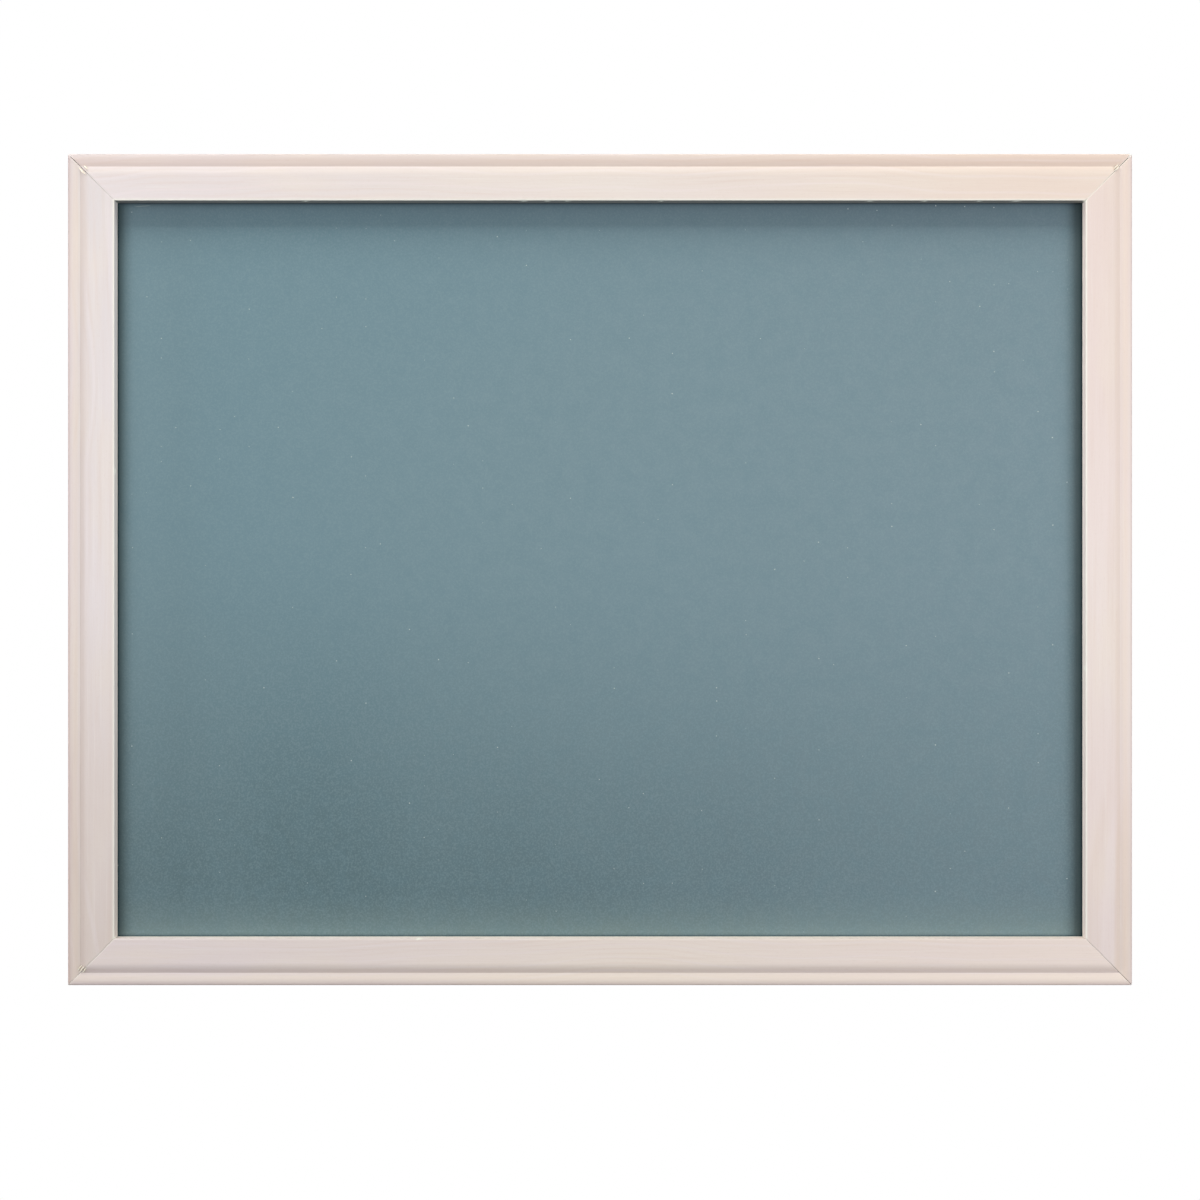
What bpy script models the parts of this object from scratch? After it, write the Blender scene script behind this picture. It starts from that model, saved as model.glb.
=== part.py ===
"""A framed wall chalkboard: four mitred lengths of wooden moulding round a slate-coloured panel.

The board faces -Y, with +X to the viewer's right and +Z up. The origin is on the plane of
the frame's back, midway between the pivots of the two hanging rings. Sizes are in metres.

The frame is drawn once, as the section of its moulding. u runs outwards from the sight edge,
which is the inner edge that the viewer sees, and v runs forwards from the back of the frame.
"""

import math
from collections import namedtuple

import bmesh
import bpy
from mathutils import Matrix, Vector

# The sight opening, through which the writing surface shows
SIGHT_WIDTH = 0.600
SIGHT_HEIGHT = 0.456

# The moulding's section
STOCK_THICKNESS = 0.019
FLAT_WIDTH = 0.015
SHOULDER_WIDTH = 0.0062
SHOULDER_ROUNDED = 0.0036
SHOULDER_SLOPE = math.radians(17)
BEAD_WIDTH = 0.0078
BEAD_RADIUS = 0.022
QUIRK_TO_CREST = 0.0042
LIP_DEPTH = 0.0082
RABBET_WIDTH = 0.0065
ARRIS = 0.0004

# Clearances: between pieces that touch, along a mitre, and round the panel in its rabbet
SEAT_GAP = 0.0003
MITRE_GAP = 0.0003
PANEL_PLAY = 0.001

# The panel: a coated writing sheet on a hardboard core
SHEET_THICKNESS = 0.0005
CORE_THICKNESS = 0.0032

# The framer's points, thin steel tabs driven into the rabbet wall behind the panel
POINT_LENGTH = 0.015
POINT_WIDTH = 0.0055
POINT_THICKNESS = 0.0005
POINT_DRIVEN = 0.008
POINT_TIP = 0.003
POINT_PITCH = 0.150

# The V-nails, driven from the back across each mitre
NAIL_LEG = 0.0055
NAIL_THICKNESS = 0.0005
NAIL_HEIGHT = 0.010
NAIL_HALF_ANGLE = math.radians(40)
NAIL_SUNK = 0.0003
NAIL_FROM_RABBET = 0.0065
NAIL_SPACING = 0.0085

# The hangers: a folded steel strap that holds a D-ring, screwed to the back of each stile
HANG_DROP = 0.120
STRAP_THICKNESS = 0.0008
STRAP_WIDTH = 0.010
STRAP_FOOT_DROP = 0.017
STRAP_FOLD_GAP = 0.0001
STRAP_NECK_RADIUS = 0.0012
RING_WIRE = 0.0022
RING_WIDTH = 0.019
RING_HEIGHT = 0.0142
RING_CORNER = 0.002

# The hanger screws, pan headed
SCREW_DROP = 0.0075
SCREW_HEAD_RADIUS = 0.00325
SCREW_HEAD_HEIGHT = 0.002
SCREW_SHANK_RADIUS = 0.00145
SCREW_LENGTH = 0.0127
SCREW_TIP = 0.0025
SCREW_CROSS_LENGTH = 0.0034
SCREW_CROSS_DEPTH = 0.0012
SCREW_WING_TIP = 0.0006
SCREW_WING_ROOT = 0.0010
SCREW_CROSS_TURN = math.radians(17)

# The bumpers, round pads that hold the bottom of the frame off the wall
BUMPER_RADIUS = 0.005
BUMPER_HEIGHT = 0.003
BUMPER_ROUND = 0.0012
BUMPER_FROM_MITRE = 0.022

# How finely the round shapes are drawn, and the angle under which two faces are one flat face
ROUND_STEPS = 32
WIRE_RESOLUTION = 3
FLAT_ANGLE = math.radians(0.1)

# Worked out from the sizes above
FACE_WIDTH = FLAT_WIDTH + SHOULDER_WIDTH + BEAD_WIDTH
OUTER_HEIGHT = SIGHT_HEIGHT + 2 * FACE_WIDTH
BACK_MIDDLE = (RABBET_WIDTH + FACE_WIDTH) / 2
RABBET_DEPTH = STOCK_THICKNESS - LIP_DEPTH
CENTRE_Z = HANG_DROP - OUTER_HEIGHT / 2
PANEL_WIDTH = SIGHT_WIDTH + 2 * (RABBET_WIDTH - PANEL_PLAY)
PANEL_HEIGHT = SIGHT_HEIGHT + 2 * (RABBET_WIDTH - PANEL_PLAY)
SHEET_FRONT_Y = SEAT_GAP - RABBET_DEPTH
CORE_FRONT_Y = SHEET_FRONT_Y + SHEET_THICKNESS + SEAT_GAP
POINT_FRONT_Y = CORE_FRONT_Y + CORE_THICKNESS + SEAT_GAP
EYE_RADIUS = RING_WIRE / 2 + SEAT_GAP + STRAP_THICKNESS / 2
PIVOT_Y = SEAT_GAP + STRAP_THICKNESS / 2 + EYE_RADIUS
STRAP_FACE_Y = SEAT_GAP + 2 * STRAP_THICKNESS + STRAP_FOLD_GAP
RING_REACH = RING_HEIGHT - RING_WIRE / 2
RING_LIFT = STRAP_FACE_Y + SEAT_GAP + RING_WIRE / 2 - PIVOT_Y
RING_TILT = math.asin(RING_LIFT / RING_REACH)

# Each side of the frame is the top one turned about Y round the frame's centre
Side = namedtuple("Side", "name rail turn half_length to_centre")
SIDES = (
    Side("top", "top_rail", 0.0, SIGHT_WIDTH / 2, SIGHT_HEIGHT / 2),
    Side("right", "right_stile", math.pi / 2, SIGHT_HEIGHT / 2, SIGHT_WIDTH / 2),
    Side("bottom", "bottom_rail", math.pi, SIGHT_WIDTH / 2, SIGHT_HEIGHT / 2),
    Side("left", "left_stile", -math.pi / 2, SIGHT_HEIGHT / 2, SIGHT_WIDTH / 2),
)


def make_collection(name):
    """A collection of this name, linked to the scene."""
    collection = bpy.data.collections.new(name)
    bpy.context.scene.collection.children.link(collection)
    return collection


def make_material(name, red, green, blue, roughness, metallic=0.0):
    """A plain Principled material, with its colour given in 8-bit display values."""
    material = bpy.data.materials.new(name)
    material.use_nodes = True
    shader = material.node_tree.nodes["Principled BSDF"]
    linear = [((value / 255 + 0.055) / 1.055) ** 2.4 for value in (red, green, blue)]
    shader.inputs["Base Color"].default_value = (*linear, 1.0)
    shader.inputs["Roughness"].default_value = roughness
    shader.inputs["Metallic"].default_value = metallic
    material.diffuse_color = (*linear, 1.0)
    return material


def arc(centre_u, centre_v, radius, start, end, steps):
    """Points along an arc from the start angle to the end angle, both included, in radians."""
    angles = [start + (end - start) * step / steps for step in range(steps + 1)]
    return [(centre_u + radius * math.cos(a), centre_v + radius * math.sin(a)) for a in angles]


def outline_mesh(name, points, thickness):
    """A flat outline in local XY, thickened evenly both ways along local Z."""
    curve = bpy.data.curves.new(name, "CURVE")
    curve.dimensions = "2D"
    curve.fill_mode = "BOTH"
    curve.extrude = thickness / 2
    spline = curve.splines.new("POLY")
    spline.points.add(len(points) - 1)
    for point, (x, y) in zip(spline.points, points):
        point.co = (x, y, 0, 1)
    spline.use_cyclic_u = True
    drawing = bpy.data.objects.new(name, curve)
    bpy.context.scene.collection.objects.link(drawing)
    evaluated = drawing.evaluated_get(bpy.context.evaluated_depsgraph_get())
    mesh = bpy.data.meshes.new_from_object(evaluated)
    bpy.data.objects.remove(drawing)
    weld(mesh)
    return mesh


def upright_mesh(name, points, thickness):
    """A flat outline drawn as (x, z) points, thickened evenly both ways along Y."""
    mesh = outline_mesh(name, points, thickness)
    mesh.transform(Matrix.Rotation(math.pi / 2, 4, "X"))
    return mesh


def weld(mesh):
    """Joins the loose caps of a mesh made from a curve to its sides, and makes each flat side one face."""
    work = bmesh.new()
    work.from_mesh(mesh)
    bmesh.ops.remove_doubles(work, verts=work.verts, dist=1e-6)
    bmesh.ops.dissolve_limit(work, angle_limit=FLAT_ANGLE, verts=work.verts, edges=work.edges)
    bmesh.ops.recalc_face_normals(work, faces=work.faces)
    work.to_mesh(mesh)
    work.free()


def box_mesh(name, size_x, size_y, size_z):
    """A box centred on its origin."""
    mesh = bpy.data.meshes.new(name)
    work = bmesh.new()
    bmesh.ops.create_cube(work, size=1.0)
    bmesh.ops.scale(work, vec=(size_x, size_y, size_z), verts=work.verts)
    work.to_mesh(mesh)
    work.free()
    return mesh


def cylinder_mesh(name, radius, length):
    """A cylinder along Y, centred on its origin."""
    mesh = bpy.data.meshes.new(name)
    work = bmesh.new()
    bmesh.ops.create_cone(
        work, cap_ends=True, segments=ROUND_STEPS, radius1=radius, radius2=radius, depth=length
    )
    work.to_mesh(mesh)
    work.free()
    mesh.transform(Matrix.Rotation(-math.pi / 2, 4, "X"))
    return mesh


def turned_mesh(name, profile):
    """The open chain of (radius, height) points that a Screw modifier turns about local Z."""
    mesh = bpy.data.meshes.new(name)
    edges = [(index, index + 1) for index in range(len(profile) - 1)]
    mesh.from_pydata([(radius, 0, height) for radius, height in profile], edges, [])
    return mesh


def add_object(name, data, parent, collection, material=None):
    """An object in a collection, under its parent, with its one material."""
    obj = bpy.data.objects.new(name, data)
    collection.objects.link(obj)
    obj.parent = parent
    if material is not None:
        data.materials.clear()
        data.materials.append(material)
    return obj


def add_empty(name, location, parent=None):
    """An empty that carries the pieces placed from one point."""
    empty = bpy.data.objects.new(name, None)
    empty.empty_display_size = 0.02
    empty.location = location
    empty.parent = parent
    parts.objects.link(empty)
    return empty


def add_cutter(name, mesh, parent):
    """A shape that only cuts others, drawn as wires and left out of the part."""
    obj = add_object(name, mesh, parent, cutters)
    obj.hide_render = True
    obj.display_type = "WIRE"
    return obj


def cut(obj, cutter):
    """Takes the cutter's shape out of the object."""
    modifier = obj.modifiers.new(cutter.name, "BOOLEAN")
    modifier.operation = "DIFFERENCE"
    modifier.solver = "EXACT"
    modifier.object = cutter


def keep_inside(obj, shape):
    """Trims the object to what lies inside the shape."""
    modifier = obj.modifiers.new(shape.name, "BOOLEAN")
    modifier.operation = "INTERSECT"
    modifier.solver = "EXACT"
    modifier.object = shape


def turn(obj):
    """Turns an open profile into a solid of revolution with smooth sides."""
    modifier = obj.modifiers.new("turned", "SCREW")
    modifier.steps = ROUND_STEPS
    modifier.render_steps = ROUND_STEPS
    modifier.use_merge_vertices = True
    modifier.merge_threshold = 1e-6
    modifier.use_smooth_shade = True


def smooth(mesh):
    """Shades a round piece smooth, with its corners left sharp."""
    mesh.shade_smooth()
    mesh.set_sharp_from_angle(angle=math.radians(30))


def smooth_mouldings(mesh):
    """Shades only the curved strips of a rail smooth: those that face neither forwards nor sideways."""
    mesh.set_sharp_from_angle(angle=math.radians(12))
    for face in mesh.polygons:
        face.use_smooth = max(abs(face.normal.x), abs(face.normal.y), abs(face.normal.z)) < 0.9999


def place_beside(obj, side, along, y, out):
    """Puts an object on one side of the frame: along it, at this y, and so far out from its sight edge."""
    obj.location = Matrix.Rotation(side.turn, 3, "Y") @ Vector((along, y, side.to_centre + out))
    obj.rotation_euler = (0, side.turn, 0)


def moulding_section():
    """The moulding's outline: lip arris, flat, rounded shoulder, quirk, bead, outer wall, rabbet."""
    front = STOCK_THICKNESS
    lip_arris = arc(ARRIS, front - ARRIS, ARRIS, math.pi, math.pi / 2, 3)

    shoulder_radius = SHOULDER_ROUNDED / math.sin(SHOULDER_SLOPE)
    shoulder_end = math.pi / 2 - SHOULDER_SLOPE
    shoulder = arc(FLAT_WIDTH, front - shoulder_radius, shoulder_radius, math.pi / 2, shoulder_end, 6)

    quirk_u = FLAT_WIDTH + SHOULDER_WIDTH
    quirk_v = shoulder[-1][1] - (SHOULDER_WIDTH - SHOULDER_ROUNDED) * math.tan(SHOULDER_SLOPE)
    crest_u = quirk_u + QUIRK_TO_CREST
    bead_centre_v = quirk_v - math.sqrt(BEAD_RADIUS**2 - QUIRK_TO_CREST**2)
    bead_start = math.pi / 2 + math.asin(QUIRK_TO_CREST / BEAD_RADIUS)
    bead_end = math.pi / 2 - math.asin((FACE_WIDTH - ARRIS - crest_u) / BEAD_RADIUS)
    bead = arc(crest_u, bead_centre_v, BEAD_RADIUS, bead_start, bead_end, 10)

    outer_wall = [(FACE_WIDTH, bead[-1][1] - 2 * ARRIS), (FACE_WIDTH, ARRIS), (FACE_WIDTH - ARRIS, 0)]
    rabbet = [(RABBET_WIDTH, 0), (RABBET_WIDTH, RABBET_DEPTH), (0, RABBET_DEPTH)]
    return lip_arris + shoulder + bead + outer_wall + rabbet


def make_rail(side):
    """One length of moulding, cut at 45 degrees at both ends.

    The section is carried along X, and each end point slides along by its own distance from
    the sight edge, which is what a mitre saw leaves. The mitre gap is shared by the two rails.
    """
    mesh = outline_mesh(side.rail, moulding_section(), 2 * side.half_length)
    set_back = MITRE_GAP / 2 * math.sqrt(2)
    for vertex in mesh.vertices:
        out, forward, along = vertex.co
        vertex.co = (math.copysign(side.half_length + out - set_back, along), -forward, out)
    smooth_mouldings(mesh)
    rail = add_object(side.rail, mesh, centre, parts, wood)
    place_beside(rail, side, along=0, y=0, out=0)
    return rail


def nail_outline(margin):
    """A V with its point up and its legs down, as (x, z), grown by a margin all round."""
    reach = NAIL_LEG + margin
    half = NAIL_THICKNESS / 2 + margin
    across, down = math.sin(NAIL_HALF_ANGLE), math.cos(NAIL_HALF_ANGLE)
    foot_x, foot_z = reach * across, -reach * down
    tip = half / across
    right = [(foot_x + half * down, foot_z + half * across), (foot_x - half * down, foot_z - half * across)]
    left = [(-x, z) for x, z in reversed(right)]
    return [(0, tip)] + right + [(0, -tip)] + left


def make_nails(rails):
    """Two V-nails from the back in each corner, with a V pocket shared by the two rails."""
    corners = (
        ("top_right", 1, 1, "top_rail", "right_stile"),
        ("bottom_right", 1, -1, "bottom_rail", "right_stile"),
        ("bottom_left", -1, -1, "bottom_rail", "left_stile"),
        ("top_left", -1, 1, "top_rail", "left_stile"),
    )
    pocket_depth = NAIL_SUNK + NAIL_HEIGHT + SEAT_GAP
    pocket_open = NAIL_SUNK + SEAT_GAP
    nail_mesh = upright_mesh("v_nail", nail_outline(0), NAIL_HEIGHT)
    pocket_mesh = upright_mesh("v_pocket", nail_outline(SEAT_GAP), pocket_depth + pocket_open)
    for corner, side_x, side_z, first, second in corners:
        for place, out in enumerate(("inner", "outer")):
            u = RABBET_WIDTH + NAIL_FROM_RABBET + place * NAIL_SPACING
            x = side_x * (SIGHT_WIDTH / 2 + u)
            z = side_z * (SIGHT_HEIGHT / 2 + u)
            nail = add_object(f"v_nail_{corner}_{out}", nail_mesh, centre, parts, steel)
            nail.location = (x, -NAIL_SUNK - NAIL_HEIGHT / 2, z)
            nail.rotation_euler = (0, math.atan2(side_x, side_z), 0)
            pocket = add_cutter(f"v_pocket_{corner}_{out}", pocket_mesh, centre)
            pocket.location = (x, (pocket_open - pocket_depth) / 2, z)
            pocket.rotation_euler = nail.rotation_euler
            cut(rails[first], pocket)
            cut(rails[second], pocket)


def make_panel():
    """The writing sheet against the back of the lip, and the hardboard core behind it."""
    sheet_mesh = box_mesh("writing_surface", PANEL_WIDTH, SHEET_THICKNESS, PANEL_HEIGHT)
    sheet = add_object("writing_surface", sheet_mesh, centre, parts, slate)
    sheet.location = (0, SHEET_FRONT_Y + SHEET_THICKNESS / 2, 0)
    core_mesh = box_mesh("core_board", PANEL_WIDTH, CORE_THICKNESS, PANEL_HEIGHT)
    core = add_object("core_board", core_mesh, centre, parts, hardboard)
    core.location = (0, CORE_FRONT_Y + CORE_THICKNESS / 2, 0)


def point_outline():
    """A framer's point as (x, z): square over the panel, and sharpened where it enters the wood."""
    half = POINT_WIDTH / 2
    shown = POINT_LENGTH - POINT_DRIVEN
    shoulder = POINT_DRIVEN - POINT_TIP
    return [(-half, -shown), (half, -shown), (half, shoulder), (0, POINT_DRIVEN), (-half, shoulder)]


def make_points(rails):
    """A row of framer's points along each side, each in its own slot in the rabbet wall."""
    point_mesh = upright_mesh("framer_point", point_outline(), POINT_THICKNESS)
    slot_open = SEAT_GAP
    slot_reach = POINT_DRIVEN + SEAT_GAP
    slot_size = (POINT_WIDTH + 2 * SEAT_GAP, POINT_THICKNESS + 2 * SEAT_GAP, slot_reach + slot_open)
    slot_mesh = box_mesh("point_slot", *slot_size)
    point_y = POINT_FRONT_Y + POINT_THICKNESS / 2
    slot_out = RABBET_WIDTH + (slot_reach - slot_open) / 2
    for side in SIDES:
        length = 2 * side.half_length
        count = round(length / POINT_PITCH)
        for index in range(count):
            along = ((index + 0.5) / count - 0.5) * length
            point = add_object(f"framer_point_{side.name}_{index + 1}", point_mesh, centre, parts, steel)
            place_beside(point, side, along, point_y, RABBET_WIDTH)
            slot = add_cutter(f"point_slot_{side.name}_{index + 1}", slot_mesh, centre)
            place_beside(slot, side, along, point_y, slot_out)
            cut(rails[side.rail], slot)


def strap_path():
    """The middle of the folded strap as (y, z) from the pivot.

    It runs up the wood, round the eye, back through the neck, and down over itself.
    """
    inner_y = -EYE_RADIUS
    outer_y = inner_y + STRAP_THICKNESS + STRAP_FOLD_GAP
    neck_y = outer_y + STRAP_NECK_RADIUS
    neck_z = -math.sqrt((EYE_RADIUS + STRAP_NECK_RADIUS) ** 2 - neck_y**2)
    leaving = math.atan2(neck_z, neck_y)
    eye = arc(0, 0, EYE_RADIUS, math.pi, leaving, 22)
    neck = arc(neck_y, neck_z, STRAP_NECK_RADIUS, leaving + math.pi, math.pi, 6)
    return [(inner_y, -STRAP_FOOT_DROP)] + eye + neck[1:] + [(outer_y, -STRAP_FOOT_DROP)]


def strap_mesh():
    """The open ribbon of the strap, which Solidify gives its thickness."""
    mesh = bpy.data.meshes.new("hanger_strap")
    work = bmesh.new()
    chain = [work.verts.new((-STRAP_WIDTH / 2, y, z)) for y, z in strap_path()]
    edges = [work.edges.new(pair) for pair in zip(chain, chain[1:])]
    ribbon = bmesh.ops.extrude_edge_only(work, edges=edges)["geom"]
    moved = [item for item in ribbon if isinstance(item, bmesh.types.BMVert)]
    bmesh.ops.translate(work, verts=moved, vec=(STRAP_WIDTH, 0, 0))
    bmesh.ops.recalc_face_normals(work, faces=work.faces)
    work.to_mesh(mesh)
    work.free()
    smooth(mesh)
    return mesh


def strap_outline():
    """The flat shape of the strap as (x, z): straight sides and a half-round foot."""
    half = STRAP_WIDTH / 2
    top = EYE_RADIUS + STRAP_THICKNESS
    foot = arc(0, half - STRAP_FOOT_DROP, half, 0, -math.pi, 16)
    return [(-half - SEAT_GAP, top), (half + SEAT_GAP, top)] + foot


def ring_path():
    """The middle of the ring's wire as (x, z): a straight bar on the pivot and a round bow below."""
    half = (RING_WIDTH - RING_WIRE) / 2
    bow_z = half - RING_REACH
    right_corner = arc(half - RING_CORNER, -RING_CORNER, RING_CORNER, math.pi / 2, 0, 5)
    bow = arc(0, bow_z, half, 0, -math.pi, 22)
    left_corner = arc(RING_CORNER - half, -RING_CORNER, RING_CORNER, math.pi, math.pi / 2, 5)
    return right_corner + bow + left_corner


def ring_curve():
    """The ring as one closed wire."""
    curve = bpy.data.curves.new("d_ring", "CURVE")
    curve.dimensions = "3D"
    curve.bevel_depth = RING_WIRE / 2
    curve.bevel_resolution = WIRE_RESOLUTION
    path = ring_path()
    spline = curve.splines.new("POLY")
    spline.points.add(len(path) - 1)
    for point, (x, z) in zip(spline.points, path):
        point.co = (x, 0, z, 1)
    spline.use_cyclic_u = True
    spline.use_smooth = True
    return curve


def screw_profile():
    """A pan-headed wood screw, head up, from its crown to its tip."""
    dome = SCREW_HEAD_HEIGHT / 2
    dome_radius = (SCREW_HEAD_RADIUS**2 + dome**2) / (2 * dome)
    rim = math.asin(SCREW_HEAD_RADIUS / dome_radius)
    crown = arc(0, SCREW_HEAD_HEIGHT - dome_radius, dome_radius, math.pi / 2, math.pi / 2 - rim, 6)
    shank_end = SCREW_TIP - SCREW_LENGTH
    head = [(0, SCREW_HEAD_HEIGHT)] + crown[1:] + [(SCREW_HEAD_RADIUS, 0), (SCREW_SHANK_RADIUS, 0)]
    return head + [(SCREW_SHANK_RADIUS, shank_end), (0, -SCREW_LENGTH)]


def cross_outline():
    """The cross-shaped driver recess in a screw head, with wings that widen towards the middle."""
    reach, half, root = SCREW_CROSS_LENGTH / 2, SCREW_WING_TIP / 2, SCREW_WING_ROOT / 2
    arm = [(root, root), (half, reach), (-half, reach)]
    points = []
    for quarter in range(4):
        cosine, sine = round(math.cos(quarter * math.pi / 2)), round(math.sin(quarter * math.pi / 2))
        points += [(x * cosine - y * sine, x * sine + y * cosine) for x, y in arm]
    return points


def make_hanger(side, side_x, stile):
    """A folded strap, its D-ring and its screw on the back of one stile.

    The ring's origin is on its pivot. It hangs from the eye and leans on the strap's face.
    """
    x = side_x * (SIGHT_WIDTH / 2 + BACK_MIDDLE)
    pivot = add_empty(f"{side}_hanger_pivot", (x, PIVOT_Y, 0))
    strap = add_object(f"{side}_hanger_strap", strap_mesh(), pivot, parts, zinc)
    sheet = strap.modifiers.new("sheet", "SOLIDIFY")
    sheet.thickness = STRAP_THICKNESS
    sheet.offset = 0
    sheet.use_even_offset = True
    strap_reach = 2 * (PIVOT_Y + EYE_RADIUS + STRAP_THICKNESS)
    trim_mesh = upright_mesh("strap_trim", strap_outline(), strap_reach)
    keep_inside(strap, add_cutter(f"{side}_strap_trim", trim_mesh, pivot))
    hole_mesh = cylinder_mesh("strap_hole", SCREW_SHANK_RADIUS + SEAT_GAP, strap_reach)
    hole = add_cutter(f"{side}_strap_hole", hole_mesh, pivot)
    hole.location = (0, 0, -SCREW_DROP)
    cut(strap, hole)

    ring = add_object(f"{side}_d_ring", ring_curve(), pivot, parts, zinc)
    ring.rotation_euler = (RING_TILT, 0, 0)

    screw = add_object(f"{side}_hanger_screw", turned_mesh("screw", screw_profile()), pivot, parts, zinc)
    screw.rotation_euler = (-math.pi / 2, 0, 0)
    head_seat_y = STRAP_FACE_Y + SEAT_GAP - PIVOT_Y
    screw.location = (0, head_seat_y, -SCREW_DROP)
    turn(screw)
    recess_mesh = outline_mesh("driver_recess", cross_outline(), 2 * SCREW_CROSS_DEPTH)
    recess = add_cutter(f"{side}_driver_recess", recess_mesh, screw)
    recess.location = (0, 0, SCREW_HEAD_HEIGHT)
    recess.rotation_euler = (0, 0, side_x * SCREW_CROSS_TURN)
    cut(screw, recess)

    drilled = SCREW_LENGTH - (STRAP_FACE_Y + SEAT_GAP) + SEAT_GAP
    pilot_mesh = cylinder_mesh("pilot", SCREW_SHANK_RADIUS + SEAT_GAP, 2 * drilled)
    pilot = add_cutter(f"{side}_pilot_hole", pilot_mesh, pivot)
    pilot.location = (0, -PIVOT_Y, -SCREW_DROP)
    cut(stile, pilot)


def bumper_profile():
    """A round pad with a softened rim, from the middle of its free face to its base."""
    edge = arc(BUMPER_RADIUS - BUMPER_ROUND, BUMPER_HEIGHT - BUMPER_ROUND, BUMPER_ROUND, math.pi / 2, 0, 5)
    return [(0, BUMPER_HEIGHT)] + edge + [(BUMPER_RADIUS, 0), (0, 0)]


def make_bumpers():
    """A pad stuck to the back of the bottom rail near each corner."""
    z = -SIGHT_HEIGHT / 2 - BACK_MIDDLE
    x = SIGHT_WIDTH / 2 + BACK_MIDDLE - BUMPER_FROM_MITRE
    for side, side_x in (("left", -1), ("right", 1)):
        bumper = add_object(f"{side}_bumper", turned_mesh("bumper", bumper_profile()), centre, parts, rubber)
        bumper.location = (side_x * x, SEAT_GAP, z)
        bumper.rotation_euler = (-math.pi / 2, 0, 0)
        turn(bumper)


for old in list(bpy.data.objects):
    bpy.data.objects.remove(old)

parts = make_collection("chalkboard")
cutters = make_collection("cutters")

wood = make_material("pale_wood", 236, 224, 216, roughness=0.55)
slate = make_material("slate_coating", 112, 136, 143, roughness=0.85)
hardboard = make_material("hardboard", 121, 88, 62, roughness=0.7)
steel = make_material("bright_steel", 170, 172, 174, roughness=0.4, metallic=1.0)
zinc = make_material("zinc_plate", 196, 198, 200, roughness=0.3, metallic=1.0)
rubber = make_material("bumper_rubber", 92, 92, 94, roughness=0.6)

centre = add_empty("frame_centre", (0, 0, CENTRE_Z))
rails = {side.rail: make_rail(side) for side in SIDES}
make_nails(rails)
make_panel()
make_points(rails)
make_hanger("left", -1, rails["left_stile"])
make_hanger("right", 1, rails["right_stile"])
make_bumpers()
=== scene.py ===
import math

import bmesh
import bpy
import numpy as np
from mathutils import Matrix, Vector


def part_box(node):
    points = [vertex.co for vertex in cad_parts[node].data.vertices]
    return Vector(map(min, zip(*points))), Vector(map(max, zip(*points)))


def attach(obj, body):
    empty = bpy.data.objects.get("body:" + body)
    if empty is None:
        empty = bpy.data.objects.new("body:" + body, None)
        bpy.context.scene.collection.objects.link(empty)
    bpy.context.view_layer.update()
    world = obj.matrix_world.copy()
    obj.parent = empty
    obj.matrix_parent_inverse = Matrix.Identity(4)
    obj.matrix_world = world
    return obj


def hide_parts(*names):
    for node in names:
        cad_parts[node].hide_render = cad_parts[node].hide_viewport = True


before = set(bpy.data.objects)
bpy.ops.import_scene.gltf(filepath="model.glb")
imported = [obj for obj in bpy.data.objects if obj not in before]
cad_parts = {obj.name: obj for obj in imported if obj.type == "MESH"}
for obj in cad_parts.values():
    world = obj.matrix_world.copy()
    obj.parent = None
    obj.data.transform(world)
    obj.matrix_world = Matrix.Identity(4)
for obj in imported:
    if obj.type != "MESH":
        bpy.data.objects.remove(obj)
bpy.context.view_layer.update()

# The four lengths of moulding: pale, unfinished basswood run through a shaper, with a flat, a
# rounded shoulder, a sharp quirk and a shallow bead in front and a rabbet behind. Each is cut at
# 45 degrees at both ends. The saw and the joining leave each mitre a little more open at one end.
top_low, top_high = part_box("top_rail")
sight_bottom_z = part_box("bottom_rail")[1][2]
sight_half_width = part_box("right_stile")[0][0]
sight_half_height = (top_low[2] - sight_bottom_z) / 2
frame_centre_z = (top_low[2] + sight_bottom_z) / 2
stock = -top_low[1]
face_width = top_high[2] - top_low[2]

flat_width = 0.0150
shoulder_width = 0.0062
shoulder_rounded = 0.0036
shoulder_slope = math.radians(17)
bead_radius = 0.0220
quirk_to_crest = 0.0042
lip_depth = 0.0082
rabbet_width = 0.0065
outer_round = 0.0011
back_arris = 0.0004
lip_arris = 0.0003
lip_back_arris = 0.0005
mitre_arris = 0.00012
mitre_arris_reach = 0.00016
station_pitch = 0.0016
near_mitre = (0.0, 0.00012, 0.0003, 0.0006, 0.0010, 0.0016, 0.0025, 0.0038)
arris_swell = 0.18
swell_lengths = (0.21, 0.006)


def round_edge(centre_u, centre_d, radius, start, end, count):
    """Points of a section round part of a circle, at even angles in degrees from start to end."""
    angle = np.radians(np.linspace(start, end, count))
    return np.stack([centre_u + radius * np.cos(angle), centre_d + radius * np.sin(angle)], 1)


def straight_run(start, end, count):
    """Points of a section at even steps from start, without the end itself."""
    step = np.linspace(0, 1, count, endpoint=False)[:, None]
    return np.array(start) * (1 - step) + np.array(end) * step


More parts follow.
